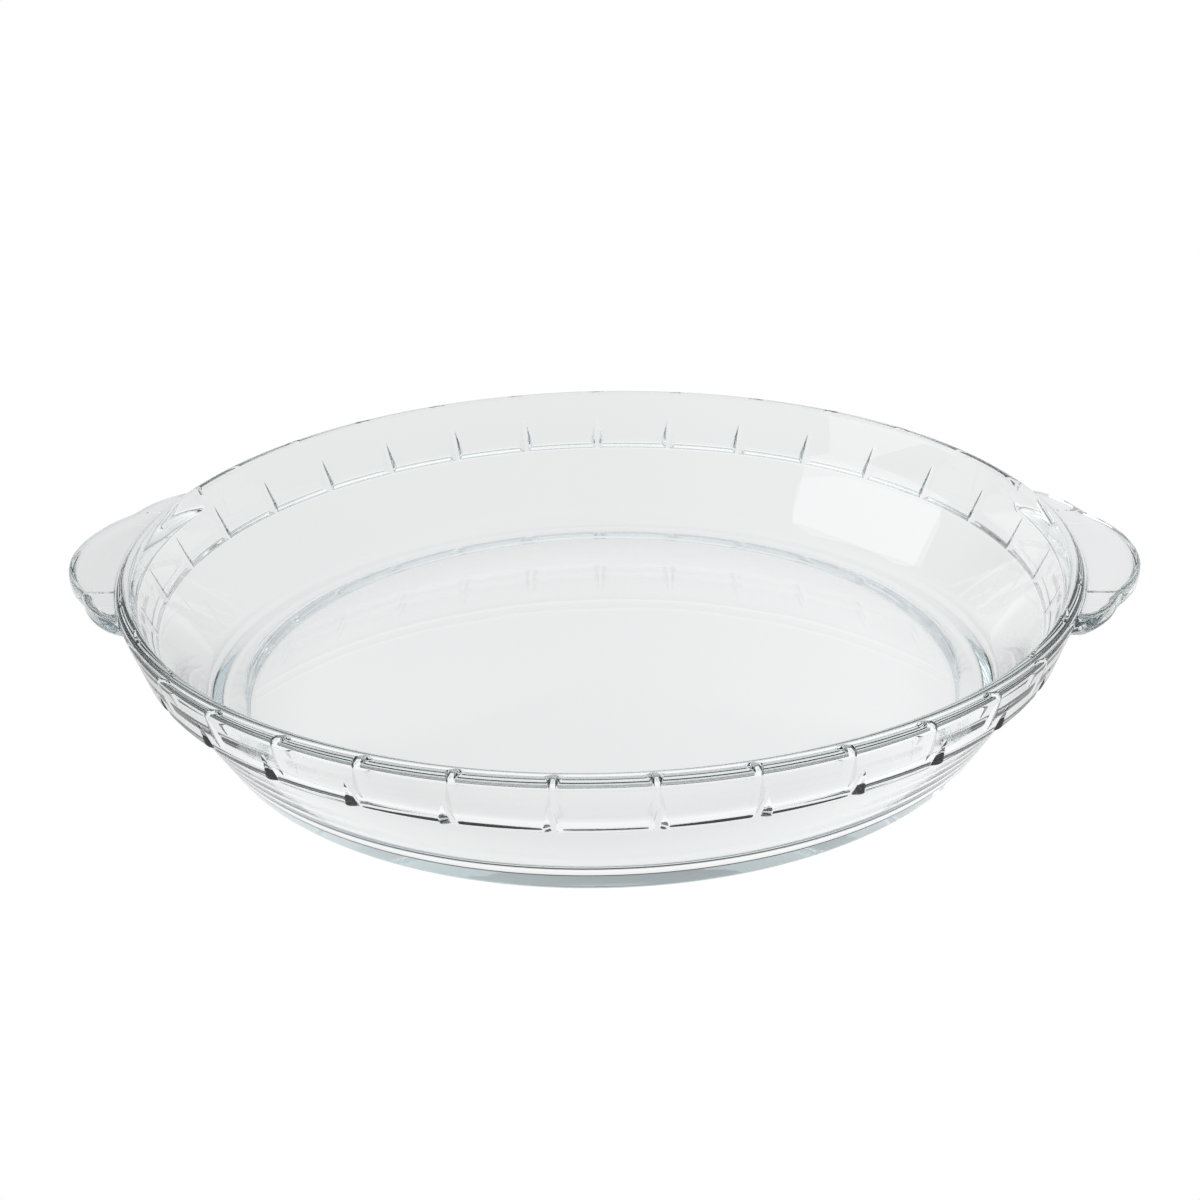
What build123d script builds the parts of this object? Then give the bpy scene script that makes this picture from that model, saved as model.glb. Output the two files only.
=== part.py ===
from build123d import *
import math
import os

os.makedirs("parts", exist_ok=True)

# Body of the dish. It stands on Z = 0, centred on the Z axis, with its handles along X.
rim_radius = 134.0
dish_height = 44.5
wall_inset = 23.9
wall_thickness = 3.25
floor_thickness = 4.6

# Foot: a flat ring to stand on, around a slightly raised underside
foot_recess = 0.8
foot_land_width = 5.9
foot_round = 3.5

# Inside: a curve from the floor into the wall, then a soft knee above which the wall stands steeper.
# The tilt is in degrees from upright.
floor_curve = 12.0
upper_wall_tilt = 21.5
knee_round = 20.0

# Band: the top of the wall steps out over the lower wall and leans out to the lip
band_height = 18.3
band_inset = 8.1
ledge_step = 3.1
ledge_rise = 0.8
ledge_round = 2.6
ledge_root_round = 2.2

# Rim: the band ends in a short upright lip with a rounded top, and narrow flats between its rounds
lip_height = 3.0
lip_width = 3.7
lip_flat = 0.3

# Notches: cut into the band all round, with a narrow flat root a little above the lower wall's slope.
# The middle of the gap nearest -Y is turned a little.
notch_count = 33
notch_root_width = 1.1
notch_root_lift = 0.35
notch_half_angle = 48.0
notch_turn = 3.0

# Handles: three lobes each, reaching past the rim, with a fine groove between neighbours
handle_drop = 1.7
handle_thickness = 6.2
middle_lobe_reach = 16.3
middle_lobe_width = 57.6
cusp_reach = 6.0
cusp_round = 1.5
side_lobe_width = 18.8
side_lobe_bulge = 2.6
side_lobe_root = 9.6
handle_top_round = 1.2
handle_bottom_round = 3.0
groove_depth = 0.5
groove_half_width = 0.5

# Flat ground kept between the floor's seam and the curve or the foot beside it, and how far over the
# curve the foot ring ends
seam_margin = 4.0
foot_seam_margin = 1.0

# How far a cut runs on past what it cuts
cut_overrun = 5.0

# Derived places. A corner's round takes up the radius times a share of each side.
foot_radius = rim_radius - wall_inset
shoulder_radius = rim_radius - band_inset
shoulder_height = dish_height - band_height
wall_slope = (shoulder_radius - foot_radius) / shoulder_height
wall_tilt = math.atan(wall_slope)
wall_share = math.tan((math.pi / 2 - wall_tilt) / 2)
floor_top = foot_recess + floor_thickness
ledge_radius = shoulder_radius + ledge_step
ledge_height = shoulder_height + ledge_rise
band_top = dish_height - lip_height
band_tilt = math.atan2(rim_radius - ledge_radius, band_top - ledge_height)
band_share = math.tan(band_tilt / 2)
land_inner_radius = foot_radius - foot_round * wall_share - foot_land_width

# The inside of the wall keeps the wall's thickness up to its knee, where the steeper line from the lip
# meets it
inner_foot_radius = foot_radius - wall_thickness / math.cos(wall_tilt)
floor_corner = (inner_foot_radius + floor_top * wall_slope, floor_top)
lip_inner = (rim_radius - lip_width, dish_height)
upper_slope = math.tan(math.radians(upper_wall_tilt))
upper_foot_radius = lip_inner[0] - dish_height * upper_slope
knee_height = (upper_foot_radius - inner_foot_radius) / (wall_slope - upper_slope)
knee = (inner_foot_radius + knee_height * wall_slope, knee_height)

# The rounds of the lip take up what its flats leave of its width and of its height
lip_share = math.tan((math.pi / 2 - math.radians(upper_wall_tilt)) / 2)
lip_round = (lip_width - lip_flat) / (1 + lip_share)
lip_root_round = (lip_height - lip_round - lip_flat) / band_share

# The floor's seam lies on flat ground, above and below. The foot ring's lies on the straight wall.
floor_flat_radius = floor_corner[0] - floor_curve * wall_share
recess_radius = land_inner_radius - foot_recess
floor_seam_radius = min(floor_flat_radius, recess_radius) - seam_margin
curve_rise = floor_curve * wall_share * math.cos(wall_tilt)
foot_seam_height = floor_top + curve_rise + foot_seam_margin


# Half section of the whole dish, in radius and height
def dish_section():
    foot = (foot_radius, 0)
    shoulder = (shoulder_radius, shoulder_height)
    ledge = (ledge_radius, ledge_height)
    lip_root = (rim_radius, band_top)
    lip_outer = (rim_radius, dish_height)
    rounds = [
        (foot, foot_round),
        (shoulder, ledge_root_round),
        (ledge, ledge_round),
        (lip_root, lip_root_round),
        (lip_outer, lip_round),
        (lip_inner, lip_round),
        (knee, knee_round),
        (floor_corner, floor_curve),
    ]
    with BuildSketch() as section:
        with BuildLine():
            Polyline(
                (0, floor_top),
                (0, foot_recess),
                (recess_radius, foot_recess),
                (land_inner_radius, 0),
                foot,
                shoulder,
                ledge,
                lip_root,
                lip_outer,
                lip_inner,
                knee,
                floor_corner,
                close=True,
            )
        make_face()
        for place, radius in rounds:
            nearest = section.vertices().sort_by_distance(Vector(*place))[0]
            fillet(nearest, radius)
    return section.sketch


# What lies between two radii and two heights of the section, turned into a ring or disc
def turned_region(inner, outer, low, high):
    with BuildPart() as region:
        with BuildSketch(Plane.XZ):
            add(dish_section())
            with Locations(((inner + outer) / 2, (low + high) / 2)):
                Rectangle(outer - inner, high - low, mode=Mode.INTERSECT)
        revolve(axis=Axis.Z)
    return region.part


# Floor: a plain disc
with BuildPart() as floor:
    add(turned_region(0, floor_seam_radius, 0, dish_height))
floor.part.label = "floor"
export_step(floor.part, "parts/floor.step")

# Foot ring: what the dish stands on, with the curve up from the floor
with BuildPart() as foot_ring:
    add(turned_region(floor_seam_radius, rim_radius, 0, foot_seam_height))
foot_ring.part.label = "foot_ring"
export_step(foot_ring.part, "parts/foot_ring.step")

# Lower wall: the flared wall below the ledge
with BuildPart() as lower_wall:
    add(turned_region(floor_seam_radius, rim_radius, foot_seam_height, shoulder_height))
lower_wall.part.label = "lower_wall"
export_step(lower_wall.part, "parts/lower_wall.step")

# Wedge for one notch. Its root runs along the slope of the lower wall, carried on into the band.
wedge_plane = Plane(
    origin=(shoulder_radius, 0, shoulder_height),
    x_dir=(0, -1, 0),
    z_dir=(math.sin(wall_tilt), 0, math.cos(wall_tilt)),
)
wedge_depth = ledge_step + cut_overrun
root_half_width = notch_root_width / 2
wedge_spread = (wedge_depth - notch_root_lift) * math.tan(math.radians(notch_half_angle))
wedge_half_width = root_half_width + wedge_spread
with BuildPart() as notch_wedge:
    with BuildSketch(wedge_plane):
        with BuildLine():
            Polyline(
                (-root_half_width, notch_root_lift),
                (root_half_width, notch_root_lift),
                (wedge_half_width, wedge_depth),
                (-wedge_half_width, wedge_depth),
                close=True,
            )
        make_face()
    extrude(amount=band_height + cut_overrun, both=True)

# Notched band: the thicker upper part of the wall, from the ledge to the lip
notch_pitch = 360 / notch_count
first_notch = -90 + notch_turn + notch_pitch / 2
with BuildPart() as notched_band:
    add(turned_region(floor_seam_radius, rim_radius, shoulder_height, band_top))
    with PolarLocations(0, notch_count, start_angle=first_notch):
        add(notch_wedge.part, mode=Mode.SUBTRACT)
notched_band.part.label = "notched_band"
export_step(notched_band.part, "parts/notched_band.step")

# Rim: the upright lip with the rounded top
with BuildPart() as rim:
    add(turned_region(floor_seam_radius, rim_radius, band_top, dish_height))
rim.part.label = "rim"
export_step(rim.part, "parts/rim.step")

# The dish with its inside filled up, whose outer surface shapes the roots of the handles
with BuildPart() as dish_core:
    with BuildSketch(Plane.XZ):
        add(dish_section())
        with BuildLine():
            Polyline(
                (0, floor_top),
                floor_corner,
                knee,
                lip_inner,
                (0, dish_height),
                close=True,
            )
        make_face()
    revolve(axis=Axis.Z)

# Right handle: a thick plate with a lobed outline and rounded edges
handle_top = dish_height - handle_drop
handle_bottom = handle_top - handle_thickness
tip = rim_radius + middle_lobe_reach
cusp = rim_radius + cusp_reach
lobe_end = rim_radius - side_lobe_root
root = lobe_end - cut_overrun
cusp_side = middle_lobe_width / 2
end_side = cusp_side + side_lobe_width
with BuildPart() as handle_right:
    with BuildSketch(Plane.XY.offset(handle_bottom)) as outline:
        with BuildLine():
            ThreePointArc((cusp, -cusp_side), (tip, 0), (cusp, cusp_side))
            SagittaArc((cusp, cusp_side), (lobe_end, end_side), -side_lobe_bulge)
            Polyline(
                (lobe_end, end_side),
                (root, end_side),
                (root, -end_side),
                (lobe_end, -end_side),
            )
            SagittaArc((lobe_end, -end_side), (cusp, -cusp_side), -side_lobe_bulge)
        make_face()
        for side in (-cusp_side, cusp_side):
            cusp_corner = outline.vertices().sort_by_distance(Vector(cusp, side))[0]
            fillet(cusp_corner, cusp_round)
    extrude(amount=handle_thickness)
    upper_edges = handle_right.faces().sort_by(Axis.Z)[-1].edges()
    fillet(upper_edges.filter_by(GeomType.CIRCLE), handle_top_round)
    lower_edges = handle_right.faces().sort_by(Axis.Z)[0].edges()
    fillet(lower_edges.filter_by(GeomType.CIRCLE), handle_bottom_round)
    with BuildSketch(Plane.YZ.offset(root)):
        for side in (-cusp_side, cusp_side):
            with BuildLine():
                Polyline(
                    (side, handle_top - groove_depth),
                    (side + groove_half_width, handle_top),
                    (side - groove_half_width, handle_top),
                    close=True,
                )
            make_face()
    extrude(amount=tip - root, mode=Mode.SUBTRACT)
    add(dish_core.part, mode=Mode.SUBTRACT)
handle_right.part.label = "handle_right"
export_step(handle_right.part, "parts/handle_right.step")

# Left handle: the mirror image of the right one
with BuildPart() as handle_left:
    mirror(handle_right.part, about=Plane.YZ)
handle_left.part.label = "handle_left"
export_step(handle_left.part, "parts/handle_left.step")
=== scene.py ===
import math

import bpy
import numpy as np
from mathutils import Matrix, Vector


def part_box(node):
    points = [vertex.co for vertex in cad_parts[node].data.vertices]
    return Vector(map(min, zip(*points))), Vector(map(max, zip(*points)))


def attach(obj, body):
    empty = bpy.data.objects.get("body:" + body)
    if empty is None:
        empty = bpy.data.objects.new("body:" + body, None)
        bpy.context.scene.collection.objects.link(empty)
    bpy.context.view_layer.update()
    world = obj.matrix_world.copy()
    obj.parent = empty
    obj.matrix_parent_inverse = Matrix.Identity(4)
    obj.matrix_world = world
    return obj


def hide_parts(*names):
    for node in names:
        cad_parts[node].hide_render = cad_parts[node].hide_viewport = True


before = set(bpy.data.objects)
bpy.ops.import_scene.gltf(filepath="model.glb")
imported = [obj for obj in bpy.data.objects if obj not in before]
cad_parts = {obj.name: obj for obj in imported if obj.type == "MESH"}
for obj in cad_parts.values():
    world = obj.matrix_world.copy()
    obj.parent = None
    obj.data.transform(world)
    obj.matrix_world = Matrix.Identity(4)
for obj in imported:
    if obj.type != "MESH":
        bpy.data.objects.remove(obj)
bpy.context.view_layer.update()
print("frame loaded, nodes:", ", ".join(sorted(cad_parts)))

mm = 0.001
handleLow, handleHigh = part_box("handle_right")
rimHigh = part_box("rim")[1]

# Lengths in millimetres, as the solids have them. The outline of the whole dish comes from their boxes.
dish = {
    "rimRadius": rimHigh.y / mm,
    "height": rimHigh.z / mm,
    "footRadius": 110.1,
    "footRound": 3.5,
    "footLand": 5.9,
    "footRecess": 0.8,
    "landStep": (0.4, 0.3),  # a point in and up from the land, on the way to the raised underside
    "floorTop": 5.4,
    "floorCurve": 12.0,
    "wallThickness": 3.25,
    "upperTilt": 21.5,  # degrees from upright, on the inside above the knee
    "kneeRound": 20.0,
    "lipWidth": 3.7,
    "lipFlat": 0.3,
    "bandTop": 41.5,
    "shoulder": (125.9, 26.2),
    "ledge": (129.0, 27.0),
    "ledgeRound": 2.6,
    "ledgeRootRound": 2.2,
    "curveRings": 12,  # rings on the curve from the floor into the wall
    "roundRings": 9,  # on each round of the lip, the ledge and the foot
    "softRings": 7,  # on the knee, and on the round at the ledge's root
    "floorShares": (0.3, 0.65, 0.9, 0.985),  # of the flat floor's radius, where rings lie
    "wallShares": (0.12, 0.4, 0.7),  # of the way down the lower wall
    "undersideShares": (0.97, 0.66, 0.33),  # of the foot land's inner radius
    "columnGap": 0.012,  # degrees: of two columns no further apart, the first is left out
}
notch = {
    "count": 33,
    "first": -87.0 + 180.0 / 33.0,  # degrees from +X
    "rootHalf": 0.55,  # half width of the narrow flat at the bottom of the V
    "rootLift": 0.35,  # how far that flat stands off the lower wall's slope
    "halfAngle": 48.0,
    "edgeSoft": 0.2,  # how far the mouth's edges are melted round
    "softDepth": 0.8,  # the depth of V from which they are melted in full
    "softLeast": 0.02,  # the share of it that stays where the V runs out
    "columns": (0.0, 0.24, 0.3, 0.65, 0.9, 1.0),  # shares of the half mouth
    "beside": (0.1, 0.3, 1.2, 3.0, 6.4),  # millimetres past the mouth
    "topRing": 37.5,  # height of the band's first ring, under those of the handles
    "lastRing": 0.25,  # how far over the ledge's round its last straight ring lies
    "bandRings": 14,
    "stepRings": 2,  # on the slope between the rounds of the ledge
}
handle = {
    "top": handleHigh.z / mm,
    "bottom": handleLow.z / mm,
    "tip": handleHigh.x / mm,
    "cusp": (140.0, 28.8),
    "cuspSoft": 0.9,
    "lobeEnd": (124.4, 47.6),
    "lobeBulge": 2.6,
    "topRound": 1.2,
    "bottomRound": 3.0,
    "growOver": 2.4,  # reach past the rim over which a handle comes to its full form
    "topShares": (0.0, 0.03, 0.1, 0.3, 0.6, 0.85),  # of the way out over the top face, where rings lie
    "underShares": (0.7, 0.4, 0.12, 0.03, 0.0),  # and of the way back in underneath
    "arc": (0, 18, 36, 54, 72, 90),  # degrees on each round of the edge
    "rootLifts": (0.55, 0.16, 0.02),  # how far the rings nearest the dish stand off either face
    "rootSoft": (0.02, 1.0),  # melt between band and outline, for rings on the faces and on the edge
    "plainLip": (42.2, 41.0),  # heights of the first rings away from the handles, on the lip's root
    "plainLipRings": 8,
    "plainBand": (40.8, 37.9),  # heights of the others there, on the band
    "underGap": 0.9,  # how far under a handle the band's first ring lies
    "creaseDepth": 0.5,
    "creaseHalf": 0.55,
    "creaseArcRings": 3,  # rings of the top round that a crease still cuts
    "creaseReach": 2.2,  # degrees from a crease over which the columns run along it
    "creaseColumns": (0.0, 0.04, 0.1, 0.16, 0.21, 0.27, 0.36, 0.5, 0.75),  # degrees
}

# Worked out from those: the slope of the lower wall, the V of a notch with the half width of its mouth
# at the ledge, and the angle of a crease
ledgeRadius, ledgeHeight = dish["ledge"]
wallSlope = (dish["shoulder"][0] - dish["footRadius"]) / dish["shoulder"][1]
wallTilt = math.atan(wallSlope)
notchFlare = math.cos(wallTilt) * math.tan(math.radians(notch["halfAngle"]))
notchFoot = dish["footRadius"] + notch["rootLift"] / math.cos(wallTilt)
notchMouth = notch["rootHalf"] + (ledgeRadius - notchFoot - ledgeHeight * wallSlope) * notchFlare
notchPitch = 2 * math.pi / notch["count"]
notchCentres = math.radians(notch["first"]) + notchPitch * np.arange(notch["count"])
creaseAngle = math.atan2(handle["cusp"][1], handle["cusp"][0])


# Rounds the corners of an open outline: each corner (x, y, radius, steps) gives way to an arc that
# touches both sides, from radius times the tangent of half the turn before the corner to as far after.
# The points come back as one array for each corner.
def roundedOutline(corners):
    pieces = []
    spots = np.array([c[:2] for c in corners], float)
    for k, corner in enumerate(corners):
        here = spots[k]
        radius, steps = corner[2:]
        if radius == 0:
            pieces.append(here[None, :])
            continue
        before = (here - spots[k - 1]) / np.linalg.norm(here - spots[k - 1])
        after = (spots[k + 1] - here) / np.linalg.norm(spots[k + 1] - here)
        turn = math.atan2(before[0] * after[1] - before[1] * after[0], before @ after)
        reach = radius * math.tan(abs(turn) / 2)
        start = here - before * reach
        centre = start + radius * math.copysign(1.0, turn) * np.array([-before[1], before[0]])
        spoke = start - centre
        across = np.array([-spoke[1], spoke[0]])
        sweep = np.linspace(0.0, turn, steps)[:, None]
        pieces.append(centre + spoke * np.cos(sweep) + across * np.sin(sweep))
    return pieces


# A smooth step: 0 below 0, 1 above 1, and 3t² - 2t³ between
def smoothStep(t):
    t = np.clip(t, 0.0, 1.0)
    return t * t * (3.0 - 2.0 * t)


# The smaller of two surfaces, with the corner between them melted over a width
def softMin(a, b, width):
    share = np.clip(0.5 + 0.5 * (b - a) / width, 0.0, 1.0)
    return b * (1.0 - share) + a * share - width * share * (1.0 - share)


# Radius at each height along an outline whose points climb, straight between them
def radiusAt(outline, z):
    return np.interp(z, outline[:, 1], outline[:, 0])


# An angle folded into the quarter from +X to +Y, which holds one half of one handle
def foldedAngle(angle):
    return np.arctan2(np.abs(np.sin(angle)), np.abs(np.cos(angle)))


# Distance from the Z axis at which a ray at an angle leaves a circle, or a negative number if it misses
def circleReach(angle, centre, radius):
    along = centre[0] * np.cos(angle) + centre[1] * np.sin(angle)
    across = centre[0] ** 2 + centre[1] ** 2 - along**2
    inside = radius**2 - across
    return np.where(inside > 0, along + np.sqrt(np.maximum(inside, 0.0)), -1.0)


# Circle through two points with a given bulge to the outer side: centre and radius
def bulgeCircle(first, second, bulge):
    first = np.array(first)
    second = np.array(second)
    half = np.linalg.norm(second - first) / 2
    radius = (half**2 + bulge**2) / (2 * bulge)
    along = (second - first) / (2 * half)
    outward = np.array([along[1], -along[0]])
    outward = outward * math.copysign(1.0, outward[0])
    return (first + second) / 2 + outward * (bulge - radius), radius


# Outline of a handle seen from above, in polar form: the furthest of the middle lobe's circle and the
# two side lobes' circles, all drawn in by an inset, with the corners between them melted
def handleReach(angle, inset):
    cuspX, cuspY = handle["cusp"]
    bulge = handle["tip"] - cuspX
    middleRadius = (cuspY**2 + bulge**2) / (2 * bulge)
    middle = (handle["tip"] - middleRadius, 0.0)
    side, sideRadius = bulgeCircle(handle["cusp"], handle["lobeEnd"], handle["lobeBulge"])
    folded = foldedAngle(angle)
    first = circleReach(folded, middle, middleRadius - inset)
    second = circleReach(folded, side, sideRadius - inset)
    return -softMin(-first, -second, handle["cuspSoft"])


# Half section of the dish as two outlines of radius and height: the inside, from the middle of the
# floor up over the lip, and the outside, from the lip down to the foot. The inside keeps the wall's
# thickness up to its knee, where the steeper line from the lip meets it. The rounds of the lip take up
# what its flats leave of its width and of its height.
def dishSection():
    rim = dish["rimRadius"]
    height = dish["height"]
    floorTop = dish["floorTop"]
    lipInner = rim - dish["lipWidth"]
    upperTilt = math.radians(dish["upperTilt"])
    innerFoot = dish["footRadius"] - dish["wallThickness"] / math.cos(wallTilt)
    upperFoot = lipInner - height * math.tan(upperTilt)
    kneeHeight = (upperFoot - innerFoot) / (wallSlope - math.tan(upperTilt))
    lipRound = (dish["lipWidth"] - dish["lipFlat"]) / (1 + math.tan((math.pi / 2 - upperTilt) / 2))
    bandTilt = math.atan2(rim - ledgeRadius, dish["bandTop"] - ledgeHeight)
    lipRootRound = (height - dish["bandTop"] - lipRound - dish["lipFlat"]) / math.tan(bandTilt / 2)
    many = dish["roundRings"]
    few = dish["softRings"]
    inside = roundedOutline(
        [
            (0.0, floorTop, 0, 0),
            (innerFoot + floorTop * wallSlope, floorTop, dish["floorCurve"], dish["curveRings"]),
            (innerFoot + kneeHeight * wallSlope, kneeHeight, dish["kneeRound"], few),
            (lipInner, height, lipRound, many),
            (rim, height, lipRound, many),
            (rim, dish["bandTop"], 0, 0),
        ]
    )
    outside = roundedOutline(
        [
            (rim, height, 0, 0),
            (rim, dish["bandTop"], lipRootRound, many),
            (*dish["ledge"], dish["ledgeRound"], many),
            (*dish["shoulder"], dish["ledgeRootRound"], few),
            (dish["footRadius"], 0.0, dish["footRound"], many),
            (dish["footRadius"] - dish["footLand"], 0.0, 0, 0),
        ]
    )
    return inside, outside


# Angles of the columns: one pattern round every notch, and close ones at the creases of the handles
def dishColumns():
    mouth = notchMouth * np.array(notch["columns"])
    beside = notchMouth + np.array(notch["beside"])
    halfRow = np.concatenate([mouth, beside]) / ledgeRadius
    row = np.concatenate([-halfRow[::-1], halfRow[1:], [notchPitch / 2]])
    close = np.radians(np.array(handle["creaseColumns"]))
    close = np.concatenate([-close[::-1], close[1:]])
    creases = np.array([creaseAngle, math.pi - creaseAngle, math.pi + creaseAngle, -creaseAngle])
    atNotches = (notchCentres[:, None] + row).ravel()
    atCreases = (creases[:, None] + close).ravel()
    columns = np.sort(np.mod(np.concatenate([atNotches, atCreases]), 2 * math.pi))
    gaps = np.diff(columns, append=columns[0] + 2 * math.pi)
    return columns[gaps > math.radians(dish["columnGap"])]


# Rings of the handles: out over the top face, round the edge and back in underneath. A ring's radius
# goes from the band's to that of the outline, drawn in by an inset, as the ring's share says. Its height
# goes from a plain one on the band to its own as the handle grows out of it. A crease is a V in the top.
def handleRings(columns, grown, band):
    top = handle["top"]
    bottom = handle["bottom"]
    topRound = handle["topRound"]
    bottomRound = handle["bottomRound"]
    cuspSide = handle["cusp"][1]
    arc = np.radians(handle["arc"])
    sinLack = 1 - np.sin(arc)
    cosLack = 1 - np.cos(arc)
    steps = [(share, topRound, top) for share in handle["topShares"]]
    steps += [(1.0, topRound * s, top - topRound * c) for s, c in zip(sinLack, cosLack)]
    steps += [(1.0, bottomRound * c, bottom + bottomRound * s) for s, c in zip(sinLack, cosLack)]
    steps += [(share, bottomRound, bottom) for share in handle["underShares"]]
    onLip = handle["plainLipRings"]
    plainHeights = np.concatenate(
        [
            np.linspace(*handle["plainLip"], onLip),
            np.linspace(*handle["plainBand"], len(steps) - onLip),
        ]
    )
    rootLifts = np.array(handle["rootLifts"])
    lifts = np.zeros(len(steps))
    lifts[: len(rootLifts)] = rootLifts
    lifts[-len(rootLifts) :] = -rootLifts[::-1]
    creased = len(handle["topShares"]) + handle["creaseArcRings"]
    fromCrease = (foldedAngle(columns) - creaseAngle) / math.radians(handle["creaseReach"])
    nearCrease = np.exp(-(fromCrease**4))
    quarter = np.sign(np.sin(columns)) * np.sign(np.cos(columns))

    rings = []
    for k, (share, inset, z) in enumerate(steps):
        heights = plainHeights[k] + (z + lifts[k] - plainHeights[k]) * grown
        base = radiusAt(band, heights)
        rootSoft = handle["rootSoft"][0 if share < 1 else 1]
        out = -softMin(-base, -handleReach(columns, inset), rootSoft)
        radius = base + (out - base) * share
        # the columns beside a crease run parallel to X, as the crease does
        lean = np.arcsin(cuspSide / radius) - creaseAngle
        angle = columns + lean * nearCrease * grown * quarter
        if k < creased:
            off = np.abs(np.abs(radius * np.sin(angle)) - cuspSide) / handle["creaseHalf"]
            deep = handle["creaseDepth"] * min(1.0, k / len(rootLifts))
            heights = heights - deep * np.clip(1 - off, 0, 1) * grown
        rings.append((radius, heights, angle))
    return rings


# Rings of the band and the ledge, with the notches. A notch is a V whose bottom runs along the lower
# wall's slope: the skin follows the smaller of the band's own radius and the V's, which is the root's
# across the flat and then climbs by the distance past the flat over the flare. Columns inside the mouth
# close up with it as the ledge runs out, and those beside it spread to make up for that. The ledge's
# rings, whose radius is no more than the edge's, keep that radius.
def bandRings(columns, grown, band, run, edge):
    limit = notchPitch / 2
    fromNotch = np.mod(columns - notchCentres[0] + limit, notchPitch) - limit
    away = np.abs(fromNotch)
    side = np.sign(fromNotch)
    was = notchMouth / ledgeRadius
    fall = handle["bottom"] - handle["underGap"] - notch["topRing"]
    rings = []
    for radius, z in run:
        high = smoothStep((z - ledgeHeight) / (notch["topRing"] - ledgeHeight))
        heights = z + fall * high * grown
        plain = radiusAt(band, heights) if radius > edge else radius * np.ones_like(columns)
        root = notchFoot + heights * wallSlope
        depth = np.maximum(plain - root, 0.0)
        aim = (notch["rootHalf"] + depth * notchFlare) / ledgeRadius
        spread = aim + (away - was) * (limit - aim) / (limit - was)
        moved = np.where(away < was, away * aim / was, spread)
        width = np.maximum(moved * ledgeRadius - notch["rootHalf"], 0.0)
        groove = root + width / notchFlare
        soft = notch["edgeSoft"] * np.clip(depth / notch["softDepth"], notch["softLeast"], 1.0)
        rings.append((softMin(plain, groove, soft), heights, columns + side * (moved - away)))
    return rings


# Rings of the whole dish, from the middle of the floor over the rim to the middle of the underside.
# Each ring has a radius, a height and an angle for every column, as whole arrays.
def dishRings():
    inside, outside = dishSection()
    lipRoot, ledgeTurn, shoulderTurn, foot = outside[1:5]
    columns = dishColumns()

    # plain rings: the same radius and height at every column
    def plainRings(points):
        full = np.ones_like(columns)
        return [(radius * full, z * full, columns) for radius, z in points]

    flat = inside[1][0, 0]
    rings = plainRings([(flat * share, dish["floorTop"]) for share in dish["floorShares"]])
    rings += plainRings(np.concatenate(inside[1:-1]))

    # the band climbs from the ledge's round to the lip, as a line that the rings outside follow
    band = np.concatenate([outside[0], lipRoot, ledgeTurn[:1]])[::-1]
    grown = smoothStep((handleReach(columns, 0.0) - dish["rimRadius"]) / handle["growOver"])
    rings += handleRings(columns, grown, band)
    straight = np.linspace(notch["topRing"], ledgeTurn[0, 1] + notch["lastRing"], notch["bandRings"])
    bandRun = np.stack([radiusAt(band, straight), straight], axis=1)
    slopeRun = np.linspace(ledgeTurn[-1], shoulderTurn[0], notch["stepRings"] + 2)[1:-1]
    run = np.concatenate([bandRun, ledgeTurn, slopeRun, shoulderTurn])
    rings += bandRings(columns, grown, band, run, ledgeTurn[0, 0])

    # lower wall, foot, land and underside
    last = shoulderTurn[-1]
    recess = dish["footRecess"]
    land = foot[-1, 0] - dish["footLand"]
    stepIn, stepUp = dish["landStep"]
    rings += plainRings([last + (foot[0] - last) * share for share in dish["wallShares"]])
    rings += plainRings(foot)
    rings += plainRings([(land, 0.0), (land - stepIn, stepUp), (land - recess, recess)])
    rings += plainRings([(land * share, recess) for share in dish["undersideShares"]])
    return [np.array(part) for part in zip(*rings)]


# Closes rings of points into one skin: four-sided faces between neighbours, and a fan at each pole
def skinOfRings(name, radius, height, angle, firstPole, lastPole):
    ringCount, columnCount = radius.shape
    points = np.stack([radius * np.cos(angle), radius * np.sin(angle), height], axis=2).reshape(-1, 3)
    points = np.concatenate([points, [[0, 0, firstPole]], [[0, 0, lastPole]]]) * mm
    ring, column = np.meshgrid(np.arange(ringCount - 1), np.arange(columnCount), indexing="ij")
    beside = (column + 1) % columnCount
    quads = np.stack(
        [
            ring * columnCount + column,
            (ring + 1) * columnCount + column,
            (ring + 1) * columnCount + beside,
            ring * columnCount + beside,
        ],
        axis=2,
    ).reshape(-1, 4)
    here = np.arange(columnCount)
    there = (here + 1) % columnCount
    pole = ringCount * columnCount
    lastRing = (ringCount - 1) * columnCount
    startFan = np.stack([np.full(columnCount, pole), here, there], axis=1)
    endFan = np.stack([lastRing + here, np.full(columnCount, pole + 1), lastRing + there], axis=1)
    corners = np.concatenate([quads.ravel(), startFan.ravel(), endFan.ravel()])
    quadStarts = np.arange(len(quads)) * 4
    fanStarts = quads.size + np.arange(2 * columnCount) * 3
    starts = np.concatenate([quadStarts, fanStarts])
    mesh = bpy.data.meshes.new(name)
    mesh.vertices.add(len(points))
    mesh.vertices.foreach_set("co", points.ravel())
    mesh.loops.add(len(corners))
    mesh.loops.foreach_set("vertex_index", corners)
    mesh.polygons.add(len(starts))
    mesh.polygons.foreach_set("loop_start", starts)
    mesh.polygons.foreach_set("use_smooth", np.ones(len(starts), bool))
    mesh.update(calc_edges=True)
    mesh.validate()
    piece = bpy.data.objects.new(name, mesh)
    bpy.context.scene.collection.objects.link(piece)
    return piece


glassDish = skinOfRings("pressed_glass_dish", *dishRings(), dish["floorTop"], dish["footRecess"])
print("dish skin:", len(glassDish.data.vertices), "points,", len(glassDish.data.polygons), "faces")

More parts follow.
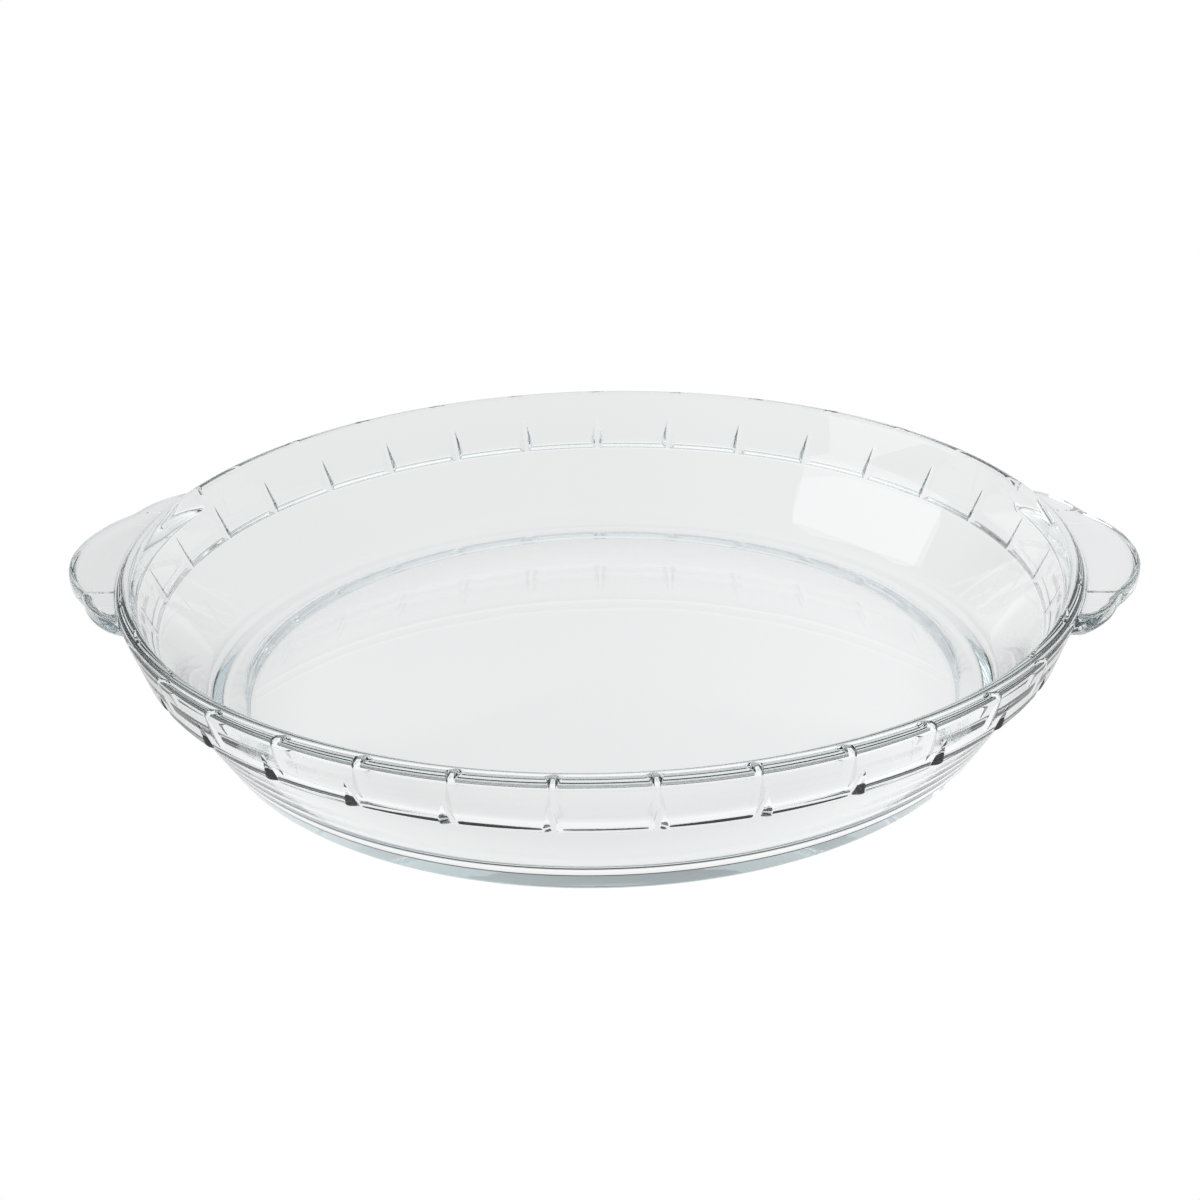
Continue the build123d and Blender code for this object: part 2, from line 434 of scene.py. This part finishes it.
glass = {
    "ior": 1.48,
    # patterns in the glass: scale, detail and roughness of each
    "wave": (22.0, 2.0, 0.4),
    "haze": (60.0, 3.0, 0.5),
    "tone": (9.0, 2.0, 0.5),
    "waveHeight": 0.00005,
    "hazeBetween": (0.45, 0.8),  # values of its pattern at which the haze starts and is full
    "smooth": 0.0,
    "hazy": 0.015,
    "tint": (1.0, 1.0, 1.0, 1.0),
    "tintLow": (0.985, 0.993, 0.996, 1.0),
    "shadowTint": (0.955, 0.965, 0.97, 1.0),
    "depthTint": (0.72, 0.8, 0.82, 1.0),
    "depthStrength": 8.0,
}


# A shader node at its place in a tree, with values for some of its sockets and its own settings
def newNode(tree, kind, at, sockets=None, **settings):
    node = tree.nodes.new(kind)
    node.location = at
    for name, value in settings.items():
        setattr(node, name, value)
    for name, value in (sockets or {}).items():
        node.inputs[name].default_value = value
    return node


# A material with an empty tree, and that tree
def newMaterial(name):
    material = bpy.data.materials.new(name)
    material.use_nodes = True
    material.node_tree.nodes.clear()
    return material, material.node_tree


# Clear glass with three faint patterns: the mould's slow waves in its normal, patches of haze in its
# roughness and of tint in its colour. Its depth takes up a little light.
def pressedGlass():
    material, tree = newMaterial("pressedGlass")
    link = tree.links.new
    place = newNode(tree, "ShaderNodeTexCoord", (-900, 0))

    def pattern(name, at):
        values = dict(zip(("Scale", "Detail", "Roughness"), glass[name]))
        texture = newNode(tree, "ShaderNodeTexNoise", at, values)
        link(place.outputs["Object"], texture.inputs["Vector"])
        return texture.outputs["Fac"]

    height = {"Strength": 1.0, "Distance": glass["waveHeight"]}
    bump = newNode(tree, "ShaderNodeBump", (-50, -250), height)
    hazeStart, hazeFull = glass["hazeBetween"]
    hazeLimits = {
        "From Min": hazeStart,
        "From Max": hazeFull,
        "To Min": glass["smooth"],
        "To Max": glass["hazy"],
    }
    hazeRange = newNode(tree, "ShaderNodeMapRange", (-350, 50), hazeLimits)
    tints = {6: glass["tint"], 7: glass["tintLow"]}  # the two colours of the mix
    toneMix = newNode(tree, "ShaderNodeMix", (-350, 350), tints, data_type="RGBA")
    shine = {"Transmission Weight": 1.0, "Metallic": 0.0, "IOR": glass["ior"]}
    shader = newNode(tree, "ShaderNodeBsdfPrincipled", (300, 100), shine)
    link(pattern("wave", (-650, -250)), bump.inputs["Height"])
    link(pattern("haze", (-650, 50)), hazeRange.inputs["Value"])
    link(pattern("tone", (-650, 350)), toneMix.inputs[0])
    link(toneMix.outputs[2], shader.inputs["Base Color"])
    link(hazeRange.outputs["Result"], shader.inputs["Roughness"])
    link(bump.outputs["Normal"], shader.inputs["Normal"])

    # light reaches the floor through the glass
    clear = newNode(tree, "ShaderNodeBsdfTransparent", (300, -200), {"Color": glass["shadowTint"]})
    path = newNode(tree, "ShaderNodeLightPath", (300, 450))
    mix = newNode(tree, "ShaderNodeMixShader", (650, 50))
    link(path.outputs["Is Shadow Ray"], mix.inputs[0])
    link(shader.outputs[0], mix.inputs[1])
    link(clear.outputs[0], mix.inputs[2])
    absorption = {"Color": glass["depthTint"], "Density": glass["depthStrength"]}
    depth = newNode(tree, "ShaderNodeVolumeAbsorption", (650, -200), absorption)
    out = newNode(tree, "ShaderNodeOutputMaterial", (900, 0))
    link(mix.outputs[0], out.inputs["Surface"])
    link(depth.outputs[0], out.inputs["Volume"])
    return material


glassDish.data.materials.append(pressedGlass())
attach(glassDish, "root")
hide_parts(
    "floor", "foot_ring", "lower_wall", "notched_band", "rim", "handle_right", "handle_left"
)
print("glass set")

studioTurn = 3.0  # degrees that the camera and all that stands round the dish are turned by
paperWhite = 1.0  # floor and wall, as the camera sees them past the dish


# Fills a colour ramp with stops, each a place from 0 to 1 and a brightness, in grey or in a tint
def toneRamp(node, stops, tint=(1.0, 1.0, 1.0)):
    elements = node.color_ramp.elements
    while len(elements) < len(stops):
        elements.new(0.5)
    for element, (place, bright) in zip(elements, stops):
        element.position = place
        element.color = (bright * tint[0], bright * tint[1], bright * tint[2], 1.0)


# The paper that the dish stands on, with lengths in metres
paper = {
    "halfWidth": 6.0,
    "height": -0.0002,  # a hair under the foot
    # as the glass shows it, away from the viewer: distance from the middle, and brightness with painted
    # shade
    "awayPaintedShadeTones": (
        (0.0, 0.89),
        (0.085, 0.9),
        (0.105, 0.82),
        (0.2, 0.82),
        (0.3, 0.85),
        (0.5, 1.0),
        (0.8, 1.0),
    ),
    # and on the viewer's side, where less painted shade falls
    "frontPaintedShadeTones": (
        (0.0, 0.89),
        (0.07, 0.86),
        (0.085, 0.78),
        (0.1, 0.85),
        (0.11, 0.98),
        (0.8, 1.0),
    ),
    "frontMeets": (0.35, 0.7),  # cosines of the angle to the viewer between which one side gives way
    "paintedRiseReach": 0.12,  # how far to the right the painted extra light is full
    # painted light: how much brighter the floor is made on the right
    "paintedRise": 0.06,
    "shadeAt": 0.155,  # a round painted shadow under each handle, this far from the middle
    "shadeBetween": (0.02, 0.06),  # distances from its own middle between which it fades
    # how much the painted shadow takes off the floor's brightness
    "shade": 0.12,
}


# The floor: white where the camera sees it past the dish. The glass shows it with painted shade in place
# of the soft shade that the dish throws on it: a tone by the distance from the middle, one for the
# viewer's side and one for the rest, plus painted light rising to the right, less a round painted shadow
# under each handle.
def paleFloor():
    half = paper["halfWidth"]
    square = ((-half, -half), (half, -half), (half, half), (-half, half))
    corners = [(x, y, paper["height"]) for x, y in square]
    mesh = bpy.data.meshes.new("paleFloor")
    mesh.from_pydata(corners, [], [(0, 1, 2, 3)])
    floor = bpy.data.objects.new("paleFloor", mesh)
    bpy.context.scene.collection.objects.link(floor)
    material, tree = newMaterial("paleSheetPaintedShade")
    link = tree.links.new
    turn = math.radians(studioTurn)
    place = newNode(tree, "ShaderNodeTexCoord", (-700, 0)).outputs["Object"]

    # painted shade tones by distance, mixed by direction
    reach = paper["awayPaintedShadeTones"][-1][0]
    far = newNode(tree, "ShaderNodeVectorMath", (-500, 150), operation="LENGTH")
    share = newNode(tree, "ShaderNodeMapRange", (-300, 150), {"From Max": reach})
    sides = newNode(tree, "ShaderNodeMix", (150, 150))
    link(place, far.inputs[0])
    link(far.outputs["Value"], share.inputs["Value"])
    for name, socket, at in (("awayPaintedShadeTones", 2, (-100, 350)), ("frontPaintedShadeTones", 3, (-100, 100))):
        ramp = newNode(tree, "ShaderNodeValToRGB", at)
        toneRamp(ramp, [(distance / reach, bright) for distance, bright in paper[name]])
        link(share.outputs["Result"], ramp.inputs["Fac"])
        link(ramp.outputs["Color"], sides.inputs[socket])
    viewer = (math.sin(turn), -math.cos(turn), 0.0)
    direction = newNode(tree, "ShaderNodeVectorMath", (-500, -100), operation="NORMALIZE")
    nearer = newNode(tree, "ShaderNodeVectorMath", (-300, -100), {1: viewer}, operation="DOT_PRODUCT")
    meets = dict(zip(("From Min", "From Max"), paper["frontMeets"]))
    front = newNode(tree, "ShaderNodeMapRange", (-100, -100), meets, interpolation_type="SMOOTHSTEP")
    link(place, direction.inputs[0])
    link(direction.outputs["Vector"], nearer.inputs[0])
    link(nearer.outputs["Value"], front.inputs["Value"])
    link(front.outputs["Result"], sides.inputs[0])

    # painted light, rising to the right
    right = (math.cos(turn), math.sin(turn), 0.0)
    rightward = newNode(tree, "ShaderNodeVectorMath", (-300, -400), {1: right}, operation="DOT_PRODUCT")
    climb = {"From Max": paper["paintedRiseReach"], "To Max": paper["paintedRise"]}
    paintedRise = newNode(tree, "ShaderNodeMapRange", (-100, -400), climb)
    raised = newNode(tree, "ShaderNodeMath", (350, 0), operation="ADD")
    link(place, rightward.inputs[0])
    link(rightward.outputs["Value"], paintedRise.inputs["Value"])
    link(sides.outputs[0], raised.inputs[0])
    link(paintedRise.outputs["Result"], raised.inputs[1])

    # the painted shadow under the handles, which are alike on both sides
    under = (paper["shadeAt"], 0.0, 0.0)
    core, edge = paper["shadeBetween"]
    fade = {"From Min": core, "From Max": edge, "To Min": paper["shade"], "To Max": 0.0}
    folded = newNode(tree, "ShaderNodeVectorMath", (-500, -700), operation="ABSOLUTE")
    apart = newNode(tree, "ShaderNodeVectorMath", (-300, -700), {1: under}, operation="DISTANCE")
    shading = newNode(tree, "ShaderNodeMapRange", (-100, -700), fade, interpolation_type="SMOOTHSTEP")
    shaded = newNode(tree, "ShaderNodeMath", (500, 0), operation="SUBTRACT")
    link(place, folded.inputs[0])
    link(folded.outputs["Vector"], apart.inputs[0])
    link(apart.outputs["Value"], shading.inputs["Value"])
    link(raised.outputs[0], shaded.inputs[0])
    link(shading.outputs["Result"], shaded.inputs[1])

    # the camera itself sees plain white
    path = newNode(tree, "ShaderNodeLightPath", (350, 400))
    seen = newNode(tree, "ShaderNodeMix", (600, 150), {3: paperWhite})
    glow = newNode(tree, "ShaderNodeEmission", (700, 0))
    out = newNode(tree, "ShaderNodeOutputMaterial", (900, 0))
    link(path.outputs["Is Camera Ray"], seen.inputs[0])
    link(shaded.outputs[0], seen.inputs[2])
    link(seen.outputs[0], glow.inputs["Strength"])
    link(glow.outputs[0], out.inputs["Surface"])
    mesh.materials.append(material)


backdrop = {"radius": 5.5, "height": 4.0, "sides": 96}  # metres


# A round white wall far off, which the camera alone sees past the floor: the glass shows the room
def paleWall():
    around = np.linspace(0.0, 2.0 * math.pi, backdrop["sides"], endpoint=False)
    ring = np.stack([np.cos(around), np.sin(around)], axis=1) * backdrop["radius"]
    low = np.column_stack([ring, np.full(len(ring), paper["height"])])
    high = np.column_stack([ring, np.full(len(ring), backdrop["height"])])
    this = np.arange(len(ring))
    after = np.roll(this, -1)
    faces = np.stack([after, this, this + len(ring), after + len(ring)], axis=1)
    mesh = bpy.data.meshes.new("paleWall")
    mesh.from_pydata(np.concatenate([low, high]).tolist(), [], faces.tolist())
    wall = bpy.data.objects.new("paleWall", mesh)
    bpy.context.scene.collection.objects.link(wall)
    for ray in ("diffuse", "glossy", "transmission", "volume_scatter", "shadow"):
        setattr(wall, "visible_" + ray, False)
    material, tree = newMaterial("paleBackdrop")
    out = newNode(tree, "ShaderNodeOutputMaterial", (300, 0))
    glow = newNode(tree, "ShaderNodeEmission", (0, 0), {"Strength": paperWhite})
    tree.links.new(glow.outputs[0], out.inputs["Surface"])
    mesh.materials.append(material)


room = {
    # sine of the height angle, and brightness
    "skyTones": (
        (0.0, 0.66),
        (0.17, 0.74),
        (0.33, 0.78),
        (0.5, 0.82),
        (0.68, 0.88),
        (0.86, 1.06),
        (1.0, 1.0),
    ),
    "coolness": (0.98, 1.0, 1.01),
    "darkSide": 145.0,  # degrees from the right to the dark corner
    # sine of the height angle, and the share of brightness that the corner takes away there
    "darkShares": (
        (0.0, 0.4),
        (0.1, 0.55),
        (0.17, 0.66),
        (0.27, 0.5),
        (0.36, 0.42),
        (0.55, 0.3),
        (0.72, 0.1),
        (0.8, 0.0),
    ),
}


# The room: its brightness follows the height angle, less the share that the dark corner takes away,
# which falls off with the cosine of the angle from that corner
def softRoom():
    world = bpy.data.worlds.new("softRoom")
    bpy.context.scene.world = world
    world.use_nodes = True
    tree = world.node_tree
    tree.nodes.clear()
    link = tree.links.new
    place = newNode(tree, "ShaderNodeTexCoord", (-500, 0)).outputs["Generated"]
    apart = newNode(tree, "ShaderNodeSeparateXYZ", (-300, 150))
    sky = newNode(tree, "ShaderNodeValToRGB", (-100, 250))
    corner = newNode(tree, "ShaderNodeValToRGB", (-100, 0))
    toneRamp(sky, room["skyTones"], room["coolness"])
    toneRamp(corner, room["darkShares"])
    aim = math.radians(room["darkSide"] + studioTurn)
    dark = (math.cos(aim), math.sin(aim), 0.0)
    toward = newNode(tree, "ShaderNodeVectorMath", (-300, -200), {1: dark}, operation="DOT_PRODUCT")
    facing = newNode(tree, "ShaderNodeMath", (-100, -250), {1: 0.0}, operation="MAXIMUM")
    taken = newNode(tree, "ShaderNodeMath", (200, -100), operation="MULTIPLY")
    kept = newNode(tree, "ShaderNodeMath", (350, -100), {0: 1.0}, operation="SUBTRACT")
    back = newNode(tree, "ShaderNodeBackground", (700, 0))
    out = newNode(tree, "ShaderNodeOutputWorld", (900, 0))
    link(place, apart.inputs[0])
    link(place, toward.inputs[0])
    link(apart.outputs["Z"], sky.inputs["Fac"])
    link(apart.outputs["Z"], corner.inputs["Fac"])
    link(toward.outputs["Value"], facing.inputs[0])
    link(corner.outputs["Color"], taken.inputs[0])
    link(facing.outputs[0], taken.inputs[1])
    link(taken.outputs[0], kept.inputs[1])
    link(sky.outputs["Color"], back.inputs["Color"])
    link(kept.outputs[0], back.inputs["Strength"])
    link(back.outputs[0], out.inputs["Surface"])


# Angles in degrees, from the right and up from the floor, and lengths in metres
softbox = {"side": 179.0, "up": 28.5, "away": 1.6, "width": 1.2, "height": 0.6, "bright": 1.12}


# The softbox faces the dish. Its power is its brightness times its area times pi.
def softLight():
    around = math.radians(softbox["side"] + studioTurn)
    lift = math.radians(softbox["up"])
    flat = math.cos(lift)
    spot = Vector((flat * math.cos(around), flat * math.sin(around), math.sin(lift)))
    data = bpy.data.lights.new("softbox", "AREA")
    data.shape = "RECTANGLE"
    data.size = softbox["width"]
    data.size_y = softbox["height"]
    data.energy = softbox["bright"] * softbox["width"] * softbox["height"] * math.pi
    light = bpy.data.objects.new("softbox", data)
    light.location = spot * softbox["away"]
    light.rotation_euler = spot.to_track_quat("Z", "Y").to_euler()
    bpy.context.scene.collection.objects.link(light)


paleFloor()
paleWall()
softRoom()
softLight()
print("stage set")

# Where the camera stands: distance in rim radii, angles in degrees, lens and heights in millimetres
shot = {
    "distance": 4.461,
    "elevation": 23.24,
    "aimHeight": 43.0,  # of the point on the dish's axis that distance and elevation are taken from
    "pitch": 1.37,  # how much further down the camera looks than that point
    "yaw": -0.02,
    "roll": -1.30,
    "lens": 63.54,
    "sensor": 36.0,
    "clip": (0.01, 50.0),  # metres
}


# The camera's axes are those of its look ahead, tipped down by its elevation and pitch and rolled about
# itself. Then all of it turns about the dish's axis with the studio.
def placeCamera():
    lift = math.radians(shot["elevation"])
    down = math.radians(shot["elevation"] + shot["pitch"])
    yaw = math.radians(shot["yaw"])
    roll = math.radians(shot["roll"])
    turn = math.radians(studioTurn)
    spot = np.array([0, -math.cos(lift), math.sin(lift)]) * shot["distance"] * dish["rimRadius"] * mm
    spot = spot + np.array([0, 0, shot["aimHeight"] * mm])
    ahead = np.array([math.sin(yaw) * math.cos(down), math.cos(yaw) * math.cos(down), -math.sin(down)])
    right = np.cross(ahead, [0, 0, 1])
    right = right / np.linalg.norm(right)
    up = np.cross(right, ahead)
    rightRolled = right * math.cos(roll) + up * math.sin(roll)
    upRolled = up * math.cos(roll) - right * math.sin(roll)
    cosTurn = math.cos(turn)
    sinTurn = math.sin(turn)
    around = np.array([[cosTurn, -sinTurn, 0], [sinTurn, cosTurn, 0], [0, 0, 1]])
    pose = np.eye(4)
    pose[:3, :3] = around @ np.stack([rightRolled, upRolled, -ahead], axis=1)
    pose[:3, 3] = around @ spot
    data = bpy.data.cameras.new("camera")
    data.sensor_width = shot["sensor"]
    data.lens = shot["lens"]
    data.clip_start, data.clip_end = shot["clip"]
    camera = bpy.data.objects.new("camera", data)
    bpy.context.scene.collection.objects.link(camera)
    camera.matrix_world = Matrix(pose.tolist())
    bpy.context.scene.camera = camera


placeCamera()

# Light crosses the glass many times before it leaves it
scene = bpy.context.scene
scene.view_settings.view_transform = "Standard"
scene.cycles.max_bounces = 32
scene.cycles.transmission_bounces = 32
scene.cycles.glossy_bounces = 16
scene.cycles.transparent_max_bounces = 16
scene.cycles.caustics_refractive = False
scene.cycles.caustics_reflective = False
print("camera set")
